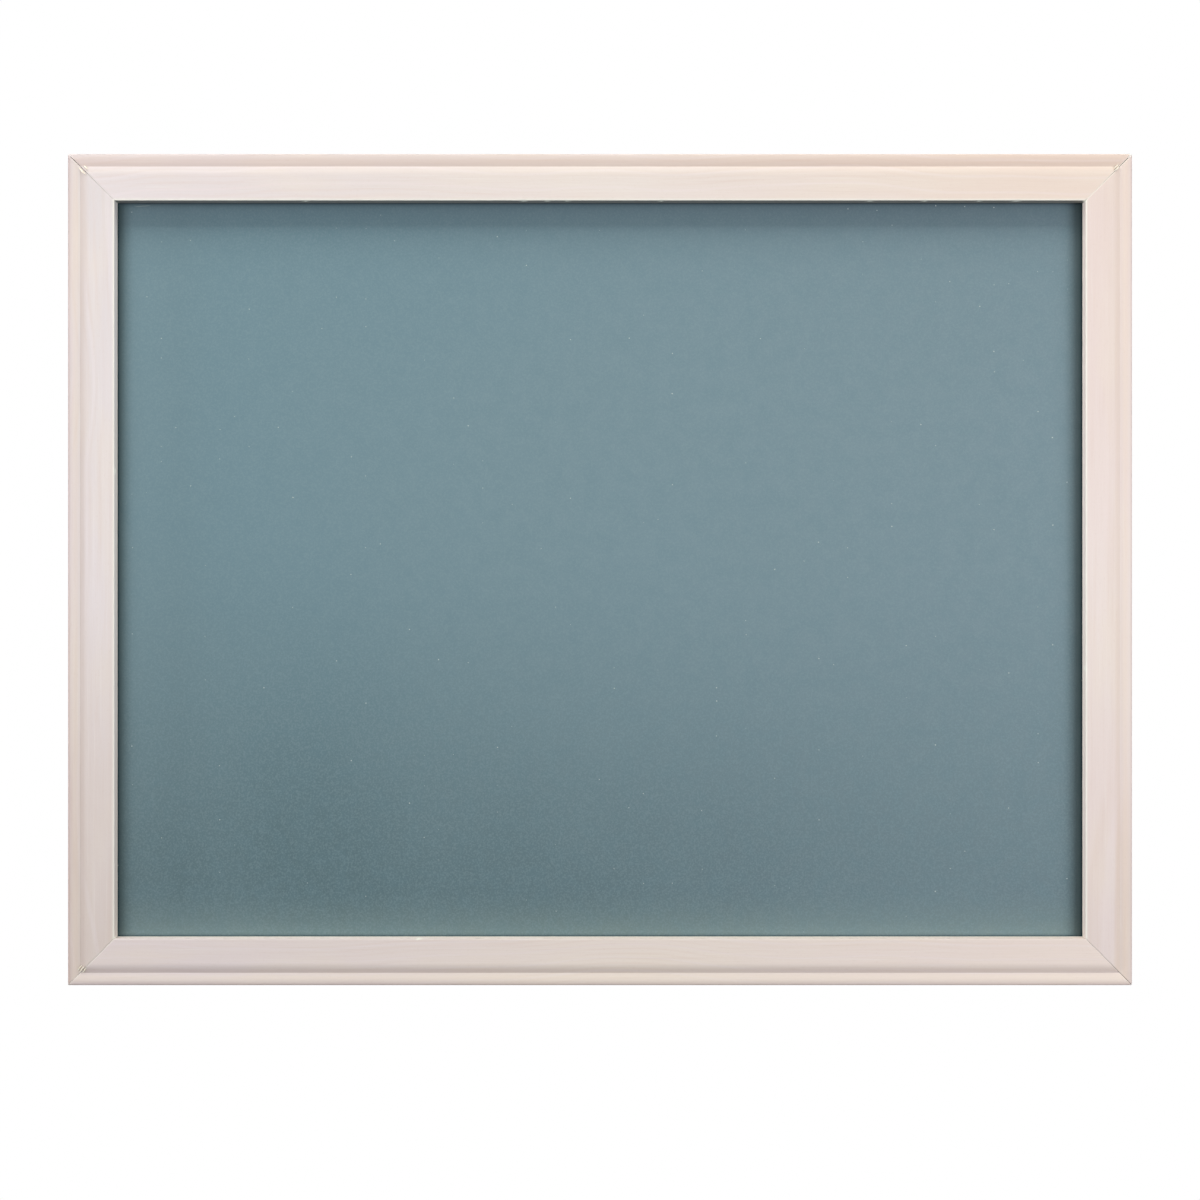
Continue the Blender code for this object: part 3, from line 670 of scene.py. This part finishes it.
def slate_coating():
    """Blue-grey slate paint with grit and pale specks, under painted light and shade.

    Its colour is painted darker towards the bottom, most at the bottom left, and painted lighter
    towards a point near the middle. The bands beside the lip are painted shade and light, and fall
    off as the exponential of the distance to it: a bluish painted shadow at the top, greener
    painted shade at the sides, a painted lighter band at the left, and a thin dark painted contact
    shadow all round. The painted shadow at the top ends in a soft step. A lighter greenish band
    along the bottom is painted bounce light. The run is a short sine wave in a pale line.
    """
    material, shader, place = new_finish("slate_coating", roughness=0.84, level=0.3)
    parts = place_in("SeparateXYZ", {0: place}).outputs
    cloud = grained(place, (7, 7, 7), 3, 0.5)
    mottle = grained(place, (90, 90, 90), 3, 0.55)
    grit = grained(place, (1100, 1100, 1100), 2, 0.6)
    # Painted shade: the coating's colour darkens towards the bottom, most at the bottom left.
    low = ranged(parts[2], -0.350, -0.10, 1.0, 0.0)
    rightward = ranged(parts[0], -0.2, 0.3)
    upper = tinted(rightward, linear(109, 138, 148), linear(115, 137, 147))
    lower = tinted(rightward, linear(91, 115, 121), linear(107, 127, 135))
    colour = tinted(low, upper, lower)
    # Painted light: the sheet is lighter towards a point near the middle and fades outward.
    centred = {"Vector": place, "Location": (-0.24, 0, 0.42), "Scale": (2.6, 0, 4.2)}
    spread = place_in("Mapping", centred).outputs[0]
    off_middle = place_in("VectorMath", {0: spread}, operation="LENGTH")
    dust_and_painted_light = ranged(off_middle.outputs["Value"], 0.2, 1.25, 0.24, 0.0)
    colour = tinted(dust_and_painted_light, colour, linear(146, 168, 175))
    colour = overlaid(
        colour,
        # Painted bounce light: a lighter greenish band along the bottom of the sheet.
        (parts[2], -0.335, -0.365, 0.35, (132, 150, 142)),
        (cloud, 0.32, 0.68, 0.22, (120, 143, 150)),
        (mottle, 0.35, 0.70, 0.20, (108, 137, 147)),
        (grit, 0.40, 0.70, 0.28, (140, 163, 168)),
    )
    to_left = sum_of("ADD", parts[0], sight_half_width)
    to_right = sum_of("SUBTRACT", sight_half_width, parts[0])
    to_top = sum_of("SUBTRACT", frame_centre_z + sight_half_height, parts[2])
    to_bottom = sum_of("SUBTRACT", parts[2], frame_centre_z - sight_half_height)
    to_side = sum_of("MINIMUM", to_left, to_right)
    to_lip = sum_of("MINIMUM", to_side, sum_of("MINIMUM", to_top, to_bottom))
    bluish = (62, 74, 86)
    # Painted shadow under the top lip, ending in a soft step.
    step = ranged(to_top, shadow_step_start, shadow_step_end, 0.09, 0.0)
    colour = tinted(step, colour, linear(*bluish))
    # Painted shade and light beside the lip, each falling off as an exponential of the distance to
    # it.
    for distance, reach, most, tone in (
        # Painted shadow under the top lip, in two bluish bands.
        (to_top, 4.0 * lip_shade_reach, 0.16, bluish),
        (to_top, 1.4 * lip_shade_reach, 0.42, bluish),
        # A painted lighter band beside the left lip, then painted shade beside the left and right
        # lips.
        (to_left, 8.0 * lip_shade_reach, 0.12, (168, 190, 197)),
        (to_left, 0.87 * lip_shade_reach, 0.95, (58, 77, 79)),
        (to_right, lip_shade_reach, 1.0, (50, 68, 70)),
        # A thin painted contact shadow all round the lip.
        (to_lip, contact_shadow_reach, 0.85, (34, 50, 60)),
    ):
        fading = sum_of("EXPONENT", sum_of("MULTIPLY", distance, -1 / reach))
        painted_light_amount = sum_of("MULTIPLY", sum_of("MINIMUM", fading, 1.0), most)
        colour = tinted(painted_light_amount, colour, linear(*tone))
    wave = sum_of("SINE", sum_of("MULTIPLY", parts[0], run_wave))
    run_z = sum_of("MULTIPLY_ADD", wave, run_swing, run_place[1])
    off_run = sum_of("ABSOLUTE", sum_of("SUBTRACT", parts[2], run_z))
    off_run = ranged(off_run, 0.0001, 0.0004, 0.5, 0.0)
    run_end = sum_of("ABSOLUTE", sum_of("SUBTRACT", parts[0], run_place[0]))
    run_end = ranged(run_end, 0.003, 0.0055, 1.0, 0.0)
    in_run = sum_of("MULTIPLY", off_run, run_end)
    colour = tinted(in_run, colour, linear(150, 164, 162))
    flat_place = place_in("CombineXYZ", {0: parts[0], 1: parts[2]}).outputs[0]
    cells = {"Vector": flat_place, "Scale": cells_per_metre, "Randomness": 1.0}
    speck = place_in("TexVoronoi", cells, voronoi_dimensions="2D", feature="F1")
    chosen = place_in("SeparateColor", {0: speck.outputs["Color"]}).outputs
    rare = sum_of("GREATER_THAN", chosen[0], 0.945)
    size = ranged(chosen[1], 0.0, 1.0, 0.016, 0.042, smooth=False)
    near = sum_of("LESS_THAN", speck.outputs["Distance"], size)
    shown = sum_of("MULTIPLY", sum_of("MULTIPLY", rare, near), 0.75)
    colour = tinted(shown, colour, linear(206, 214, 210))
    rough = ranged(mottle, 0.3, 0.7, 0.80, 0.90)
    finished(shader, colour, rough, sum_of("ADD", grit, mottle), 0.00005, 0.5)
    return material


paint(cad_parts["writing_surface"], slate_coating())

# The core board: brown hardboard that stiffens the writing sheet from behind. Its back keeps the
# print of the wire screen that it was pressed on, and short darker fibres show all over it.
screen_pitch = 0.0016


def pressed_hardboard():
    """Brown pressed fibre with a crossed screen print on it."""
    material, shader, place = new_finish("pressed_hardboard", roughness=0.72, level=0.3)
    parts = place_in("SeparateXYZ", {0: place}).outputs
    turns = 2 * math.pi / screen_pitch
    wave_x = sum_of("SINE", sum_of("MULTIPLY", parts[0], turns))
    wave_z = sum_of("SINE", sum_of("MULTIPLY", parts[2], turns))
    screen = sum_of("MULTIPLY", wave_x, wave_z)
    cloud = grained(place, (14, 14, 14), 4, 0.6)
    fibre = grained(place, (420, 420, 420), 4, 0.7)
    colour = overlaid(
        linear(118, 86, 60),
        (cloud, 0.3, 0.7, 1.0, (132, 98, 70)),
        (fibre, 0.45, 0.75, 0.6, (84, 58, 40)),
        (screen, 0.0, 1.0, 0.28, (92, 64, 44)),
    )
    height = sum_of("MULTIPLY_ADD", fibre, 0.6, sum_of("MULTIPLY", screen, -0.5))
    finished(shader, colour, None, height, 0.00022, 0.8)
    return material


paint(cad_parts["core_board"], pressed_hardboard())

# The framer's points: small tabs stamped from spring steel with a rib down the middle. A gun
# drives their sharp ends into the rabbet wall, and their square ends hold the panel to the lip.
point_thickness = 0.0005
point_rib = 0.00022
point_tip = 0.0030
point_corner = 0.0006


def stamped_tab(node, turn):
    """A tab as a grid: across it the width, along it the length, raised by a rib in the middle.

    The width is full until the tip, where it narrows evenly, and is rounded off at the square
    end. The rib is a bell curve across the width, and fades towards both ends.
    """
    low, high = (np.array(corner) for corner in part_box(node))
    middle = (low + high) / 2
    length = max(high[0] - low[0], high[2] - low[2])
    half_width = min(high[0] - low[0], high[2] - low[2]) / 2
    far = np.concatenate([
        [0, 0.0002, 0.0006],
        np.linspace(0.0012, length - point_tip, 9),
        np.linspace(length - 0.0024, length, 5),
    ])
    across = np.linspace(-1, 1, 13)
    grid_far, grid_across = np.meshgrid(far, across, indexing="ij")
    short_of = np.clip(point_corner - grid_far, 0, None)
    corner = point_corner - np.sqrt(np.clip(point_corner**2 - short_of**2, 0, None))
    taper = np.clip((length - grid_far) / point_tip, 0.06, 1)
    width = (half_width - corner) * taper
    fade = np.clip(grid_far / 0.002, 0, 1) * np.clip((length - grid_far) / 0.004, 0, 1)
    lift = point_rib * np.exp(-((grid_across / 0.32) ** 2)) * fade
    out = grid_far - length / 2
    x = width * grid_across * math.cos(turn) + out * math.sin(turn)
    z = out * math.cos(turn) - width * grid_across * math.sin(turn)
    points = np.stack([middle[0] + x, middle[1] + lift, middle[2] + z], -1)
    return new_mesh(node + "_tab", points, grid_faces(far.size, across.size, turned=True))


spring_steel = rolled_steel("spring_steel", (166, 170, 176), 0.34, (1500, 1500, 1500))
side_turns = {"top": 0.0, "right": quarter, "bottom": 2 * quarter, "left": -quarter}
for name in [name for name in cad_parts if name.startswith("framer_point_")]:
    tab = add_piece(name + "_tab", stamped_tab(name, side_turns[name.split("_")[2]]), "board")
    wall = tab.modifiers.new("sheet", "SOLIDIFY")
    wall.thickness = point_thickness
    wall.offset = 0
    dress(tab, spring_steel)
    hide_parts(name)

# The hanger straps: zinc-plated steel strip folded round the bar of the D-ring and over itself,
# with a half-round foot and one screw hole through both thicknesses, on the back of each stile.
strap_thickness = 0.0008
strap_half_width = 0.0050
strap_foot = 0.0170
strap_fold_gap = 0.0001
neck_radius = 0.0012
ring_wire = 0.0022
eye_radius = ring_wire / 2 + 0.0003 + strap_thickness / 2
pivot_y = 0.0025
pivot_x = (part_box("right_d_ring")[0][0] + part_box("right_d_ring")[1][0]) / 2
screw_hole_radius = 0.00175
screw_hole_ends = (0.004, -0.002)
screw_drop = 0.0075
foot_merge = 0.00003


def strap_line():
    """The middle of the folded strip as (y, z) from the pivot.

    It climbs the wood from the foot, goes round the eye as a circle, back through the neck as a
    small circle bent the other way, and down over itself to the foot again.
    """
    inner_y = -eye_radius
    outer_y = inner_y + strap_thickness + strap_fold_gap
    neck_y = outer_y + neck_radius
    neck_z = -math.sqrt((eye_radius + neck_radius) ** 2 - neck_y**2)
    leaving = math.degrees(math.atan2(neck_z, neck_y))
    foot = -strap_foot + strap_half_width * (1 - np.cos(np.linspace(0, quarter, 12)))
    climb = np.concatenate([foot, np.linspace(foot[-1], 0, 10)[1:-1]])
    fall = climb[climb < neck_z][::-1]
    return np.concatenate([
        np.stack([np.full(climb.size, inner_y), climb], 1),
        round_edge(0, 0, eye_radius, 180, leaving, 44),
        round_edge(neck_y, neck_z, neck_radius, leaving + 180, 180, 12)[1:],
        np.stack([np.full(fall.size, outer_y), fall], 1),
    ])


def strap_ribbon(name, x):
    """The strap's line spread across its width, which closes to a half circle at the foot."""
    line = strap_line()
    down = np.clip((strap_half_width - strap_foot) - line[:, 1], 0, strap_half_width)
    half = np.sqrt(np.clip(strap_half_width**2 - down**2, 0.00001**2, None))
    across = np.linspace(-1, 1, 17)
    points = np.empty((len(line), across.size, 3))
    points[..., 0] = x + half[:, None] * across[None]
    points[..., 1] = pivot_y + line[:, :1]
    points[..., 2] = line[:, 1:]
    return mended(new_mesh(name, points, grid_faces(*points.shape[:2])), foot_merge)


zinc = rolled_steel("zinc_plate", (196, 199, 203), 0.30, (700, 700, 2600))
hanger_sides = (("left", -pivot_x), ("right", pivot_x))
for side, x in hanger_sides:
    strap = add_piece(side + "_folded_strap", strap_ribbon(side + "_folded_strap", x), "board")
    wall = strap.modifiers.new("sheet", "SOLIDIFY")
    wall.thickness = strap_thickness
    wall.offset = 0
    wall.use_even_offset = True
    cut_out(strap, [round_hole(x, -screw_drop, screw_hole_radius, *screw_hole_ends, 48)])
    dress(strap, zinc, 40)
    edge = strap.modifiers.new("edge", "BEVEL")
    edge.width = 0.00012
    edge.segments = 2
    edge.limit_method = "ANGLE"
    edge.angle_limit = math.radians(50)
    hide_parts(side + "_hanger_strap")

# The D-rings: zinc-plated wire bent to a D whose bar turns in the strap's eye and whose bow hangs
# below, leaning on the strap. They take the hooks or the wire that the board hangs on.
ring_width = 0.0190
ring_height = 0.0142
ring_corner = 0.0020
strap_face_y = 0.0003 + 2 * strap_thickness + strap_fold_gap
ring_reach = ring_height - ring_wire / 2
ring_tilt = math.asin((strap_face_y + 0.0003 + ring_wire / 2 - pivot_y) / ring_reach)


def bent_wire(name, x):
    """A round wire carried along a D: a bar, two tight corners and a half-round bow.

    Around each point of the D, the wire's circle lies across the line's direction there.
    """
    half = (ring_width - ring_wire) / 2
    line = np.concatenate([
        round_edge(half - ring_corner, -ring_corner, ring_corner, 90, 0, 12),
        round_edge(0, half - ring_reach, half, 0, -180, 56),
        round_edge(ring_corner - half, -ring_corner, ring_corner, 180, 90, 12),
        straight_run((ring_corner - half, 0), (half - ring_corner, 0), 8)[1:],
    ])
    ahead = np.roll(line, -1, 0) - np.roll(line, 1, 0)
    ahead /= np.linalg.norm(ahead, axis=1)[:, None]
    angle = np.linspace(0, 2 * math.pi, 24, endpoint=False)
    side = ring_wire / 2 * np.cos(angle)
    rise = ring_wire / 2 * np.sin(angle)
    local_x = line[:, :1] + ahead[:, 1:] * side[None]
    local_z = line[:, 1:] - ahead[:, :1] * side[None]
    local_y = np.broadcast_to(rise[None], local_x.shape)
    y = local_y * math.cos(ring_tilt) - local_z * math.sin(ring_tilt)
    z = local_y * math.sin(ring_tilt) + local_z * math.cos(ring_tilt)
    points = np.stack([x + local_x, pivot_y + y, z], -1)
    faces = grid_faces(*points.shape[:2], close_rows=True, close_columns=True)
    return mended(new_mesh(name, points, faces))


for side, x in hanger_sides:
    ring = add_piece(side + "_wire_ring", bent_wire(side + "_wire_ring", x), side + "_ring")
    dress(ring, zinc)
    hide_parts(side + "_d_ring")

# The hanger screws: pan-headed zinc-plated wood screws with a cross recess, driven through the
# straps into the pilot holes. The shank carries a thread down to its point.
head_radius = 0.00325
head_height = 0.0020
head_rim = 0.0002
shank_radius = 0.00145
smooth_shank = 0.0016
thread_depth = 0.00035
thread_start = 0.0006
thread_pitch = 0.0011
ridge_half = 0.28
screw_length = 0.0127
screw_tip = 0.0025
recess_turn = math.radians(17)
recess_depth = 0.0012


def threaded_screw(name, x, seat_y):
    """A grid of angle by height, where the radius is the head's, the shank's or the point's.

    On the shank a ridge follows height minus turns times the pitch, and fades to the point.
    """
    dome = head_height / 2
    dome_radius = (head_radius**2 + dome**2) / (2 * dome)
    rim = math.degrees(math.asin(head_radius / dome_radius))
    crown = round_edge(0, head_height - dome_radius, dome_radius, 90.0, 90 - rim, 10)
    shank = np.linspace(0, -screw_length, 110)[1:]
    neck = np.array([[head_radius, 0.0], [shank_radius, 0.0]])
    core = shank_radius * np.clip((screw_length + shank) / screw_tip, 0.0, 1.0)
    body = np.stack([core, shank], 1)
    rim_edge = round_edge(head_radius - head_rim, head_rim, head_rim, 0, -90, 4)[1:]
    section = np.concatenate([crown, rim_edge, neck[1:], body])
    section[0, 0] = same_place
    angle = np.linspace(0, 2 * math.pi, 36, endpoint=False)
    radius = np.repeat(section[:, :1], angle.size, 1)
    height = np.repeat(section[:, 1:], angle.size, 1)
    turns = (height / thread_pitch - angle[None] / (2 * math.pi)) % 1.0
    ridge = np.clip(1 - np.abs(turns - 0.5) / ridge_half, 0, 1)
    threaded = np.clip(-(height + smooth_shank) / thread_start, 0, 1)
    threaded = threaded * np.clip((height + screw_length) / screw_tip, 0, 1)
    radius = np.clip(radius - thread_depth * threaded * (1 - ridge), same_place, None)
    across, up = x + radius * np.cos(angle), -screw_drop + radius * np.sin(angle)
    return mended(carried(name, np.stack([across, seat_y + height, up], -1)), same_place)


def cross_recess(x, top_y, turn):
    """A cross that narrows towards its bottom, as places and faces."""
    reach, tip, root = 0.0017, 0.0003, 0.00052
    arm = np.array([(root, root), (tip, reach), (-tip, reach)])
    outline = []
    for quarter_turn in range(4):
        angle = quarter_turn * quarter + turn
        spin = np.array([[math.cos(angle), -math.sin(angle)], [math.sin(angle), math.cos(angle)]])
        outline.append(arm @ spin.T)
    ends = ((top_y + 0.0004, 1.15), (top_y - recess_depth, 0.55))
    return prism(((x, -screw_drop), np.concatenate(outline)), ends)


seat_y = strap_face_y + 0.0003
for side, x in hanger_sides:
    screw = add_piece(side + "_pan_screw", threaded_screw(side + "_pan_screw", x, seat_y), "board")
    cut_out(screw, [cross_recess(x, seat_y + head_height, math.copysign(recess_turn, x))])
    dress(screw, zinc, 28)
    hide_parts(side + "_hanger_screw")

# The bumpers: round rubber pads with a softened rim, stuck to the back of the bottom rail near
# its ends, so that the board hangs flat and doesn't scratch the wall.
bumper_round = 0.0012
bumper_dome = 0.00006


def moulded_rubber():
    """Dull grey rubber with a fine grain and a little dust."""
    material, shader, place = new_finish("bumper_rubber", roughness=0.62, level=0.4)
    grain = grained(place, (2400, 2400, 2400), 3, 0.6)
    dust_and_painted_light = grained(place, (300, 300, 300), 3, 0.6)
    colour = overlaid(linear(88, 88, 91), (dust_and_painted_light, 0.4, 0.75, 0.5, (116, 114, 110)))
    rough = ranged(dust_and_painted_light, 0.3, 0.7, 0.56, 0.72)
    finished(shader, colour, rough, grain, 0.00004, 0.5)
    return material


def round_pad(name, low, high):
    """A turned pad: its section, a slightly domed face and a rounded rim, carried round Y."""
    middle_x, middle_z = (low[0] + high[0]) / 2, (low[2] + high[2]) / 2
    radius, height = (high[0] - low[0]) / 2, high[1] - low[1]
    flat = radius - bumper_round
    face = np.linspace(same_place, flat, 9)
    section = np.concatenate([
        np.stack([face, height - bumper_dome * (face / flat) ** 2], 1)[:-1],
        round_edge(flat, height - bumper_round - bumper_dome, bumper_round, 90, 0, 10),
        straight_run((radius, height - bumper_round - 0.0002), (radius, 0), 4),
        [(radius, 0.0), (same_place, 0.0)],
    ])
    angle = np.linspace(0, 2 * math.pi, 72, endpoint=False)
    x = middle_x + section[:, :1] * np.cos(angle)
    z = middle_z + section[:, :1] * np.sin(angle)
    y = np.broadcast_to(low[1] + section[:, 1:], x.shape)
    return mended(carried(name, np.stack([x, y, z], -1)), same_place)


rubber = moulded_rubber()
for side in ("left", "right"):
    pad_mesh = round_pad(side + "_rubber_pad", *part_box(side + "_bumper"))
    pad = add_piece(side + "_rubber_pad", pad_mesh, "board")
    dress(pad, rubber)
    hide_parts(side + "_bumper")

# The torn fibres: where the saw left the wood at the quirk of three mitres, a few short pale
# splinters still hang on and lie along the cut, each with a painted shadow along one side.
fibre_thickness = 0.00012
fibre_rise = 0.00014
fibre_arch = 0.00045
sliver_shadow_edge = -0.7


def splinters(name, corner, lean, places, seed):
    """Short tapered strips lying along a mitre.

    Each is a grid of length by width, given as its shift from the mitre, its distance out, its
    length and its half width. The half width follows a half sine of the length, and the strip
    lies on the moulding's section, lifted in the middle by a shallow arch.
    """
    section = moulding_section(lip_arris)
    front = section[np.argmax(section[:, 1]):]
    front = front[: np.argmax(front[:, 0]) + 1]
    draw = np.random.default_rng(seed)
    side_x, side_z = corner
    step, across = np.meshgrid(np.linspace(0, 1, 13), np.linspace(-1, 1, 7), indexing="ij")
    points, faces = [], []
    for shift, middle_out, length, half_width in places:
        bend = draw.uniform(-0.00025, 0.00025)
        out = middle_out + length / math.sqrt(2) * (step - 0.5)
        aside = shift + lean * length * (step - 0.5) + bend * np.sin(math.pi * step)
        aside = aside + half_width * np.sin(math.pi * (0.06 + 0.88 * step)) * across
        lift = fibre_rise + fibre_arch * np.sin(math.pi * step) * draw.uniform(0.5, 1.0)
        forward = np.interp(out, front[:, 0], front[:, 1]) + lift
        forward = np.minimum(forward, stock - fibre_thickness)
        x = side_x * (sight_half_width + out + aside / math.sqrt(2))
        z = side_z * (sight_half_height + out - aside / math.sqrt(2)) + frame_centre_z
        faces += grid_faces(*step.shape, first=len(points) * step.size, turned=True)
        points.append(np.stack([x, -forward, z], -1))
    mesh = new_mesh(name, points, faces)
    # Marks the strip's outer edge for its painted shadow.
    sliver_shadow = np.tile((across < sliver_shadow_edge).ravel(), len(places)).astype(np.float32)
    mesh.attributes.new("sliver_shadow", "FLOAT", "POINT").data.foreach_set("value", sliver_shadow)
    return mesh


def torn_wood():
    """Clean, nearly white wood fibre, with a painted shadow along one edge."""
    material, shader, place = new_finish("torn_wood", roughness=0.7, level=0.3)
    fibre = grained(place, (900, 900, 900), 3, 0.6)
    colour = overlaid(linear(255, 252, 242), (fibre, 0.3, 0.7, 1.0, (248, 236, 212)))
    sliver_shadow = place_in("Attribute", tree=shader.id_data, attribute_name="sliver_shadow").outputs["Fac"]
    # Painted shadow along one edge of each splinter.
    colour = tinted(sum_of("MULTIPLY", sliver_shadow, 0.9), colour, linear(112, 90, 76))
    finished(shader, colour, None, fibre, 0.00004, 0.5)
    return material


torn = torn_wood()
top_left_fibres = ((-0.0019, 0.0190, 0.0038, 0.00052), (0.0010, 0.0190, 0.0066, 0.00062))
top_right_fibres = ((-0.0005, 0.0196, 0.0054, 0.00042), (-0.0018, 0.0200, 0.0046, 0.00040))
bottom_left_fibres = (
    (0.0022, 0.0198, 0.0050, 0.00042),
    (0.0008, 0.0196, 0.0056, 0.00046),
    (-0.0006, 0.0190, 0.0046, 0.00042),
)
for name, *strip_places in (
    ("torn_fibres_top_left", (-1, 1), 0.0, top_left_fibres, 3),
    ("torn_fibres_top_right", (1, 1), 0.05, top_right_fibres, 4),
    ("torn_fibres_bottom_left", (-1, -1), -0.12, bottom_left_fibres, 5),
):
    strips = add_piece(name, splinters(name, *strip_places), "board")
    wall = strips.modifiers.new("fibre", "SOLIDIFY")
    wall.thickness = fibre_thickness
    wall.offset = 0
    dress(strips, torn)

# The studio: a pale floor well below the board, which hangs as it does on a wall, an even white
# surround, and soft lamps: one above, two at its left, one at its right and one for its back.
floor_z = -1.2
floor_corners = [(-3, -2.6, floor_z), (3, -2.6, floor_z), (3, 1.2, floor_z), (-3, 1.2, floor_z)]
floor_mesh = new_mesh("floor", floor_corners, [(0, 1, 2, 3)])
floor = placed("floor", floor_mesh)


def seen_as_white(tree):
    """1 for rays from the camera, or reflected or sent through on the way, and 0 for the rest."""
    path = place_in("LightPath", tree=tree).outputs
    seen = sum_of("MAXIMUM", path["Is Camera Ray"], path["Is Glossy Ray"])
    return sum_of("MAXIMUM", seen, path["Is Transmission Ray"])


floor_paint, shader, _ = new_finish("floor_paint", roughness=0.9)
tree = floor_paint.node_tree
shader.inputs["Base Color"].default_value = (0.22, 0.22, 0.22, 1)
glow = place_in("Emission", {"Strength": sum_of("MULTIPLY", seen_as_white(tree), 0.85)})
both = place_in("AddShader", {0: shader.outputs[0], 1: glow.outputs[0]})
tree.links.new(both.outputs[0], tree.nodes["Material Output"].inputs["Surface"])
floor_mesh.materials.append(floor_paint)

world = bpy.data.worlds.new("surround")
world.use_nodes = True
bpy.context.scene.world = world
tree = world.node_tree
strength = ranged(seen_as_white(tree), 0.0, 1.0, 0.02, 1.0, smooth=False)
tree.links.new(strength, tree.nodes["Background"].inputs["Strength"])
tree.nodes["Background"].inputs["Color"].default_value = (1, 1, 1, 1)

aim = (0, 0, -0.1)


def hang_lamp(name, place, width, height, power, colour=(1, 1, 1)):
    """A soft rectangular lamp at a place, turned to the aim."""
    light = bpy.data.lights.new(name, "AREA")
    light.shape = "RECTANGLE"
    light.size, light.size_y = width, height
    light.energy = power
    light.color = colour
    lamp = placed(name, light)
    lamp.location = place
    away = np.array(place) - np.array(aim)
    flat = math.hypot(away[0], away[1])
    lamp.rotation_euler = (math.atan2(flat, away[2]), 0, math.atan2(away[0], -away[1]))


hang_lamp("overhead_lamp", (0, -0.45, 1.22), 2.0, 0.45, 17.8, (1.0, 0.97, 0.90))
hang_lamp("left_lamp", (-0.81, -0.86, 0.14), 0.57, 0.7, 5.0, (0.99, 1.0, 1.02))
hang_lamp("right_lamp", (1.25, -1.19, -0.20), 0.77, 0.7, 17.1, (0.99, 1.0, 1.02))
hang_lamp("low_left_lamp", (-2.3, -0.26, -0.14), 0.35, 0.9, 25.0, (0.99, 1.0, 1.0))
hang_lamp("back_lamp", (0.3, 1.6, 0.5), 1.6, 1.2, 30)

# The camera: level and straight in front of the board, at the height of the middle of the
# photograph, about a metre from the board.
camera_distance = 1.080
camera_z = -0.1558
half_view = 0.3430
lens = bpy.data.cameras.new("camera")
lens.angle = 2 * math.atan(half_view)
lens.clip_start = 0.01
camera = placed("camera", lens)
camera.location = (0, -stock - camera_distance, camera_z)
camera.rotation_euler = (quarter, 0, 0)
bpy.context.scene.camera = camera
bpy.context.scene.view_settings.view_transform = "Standard"
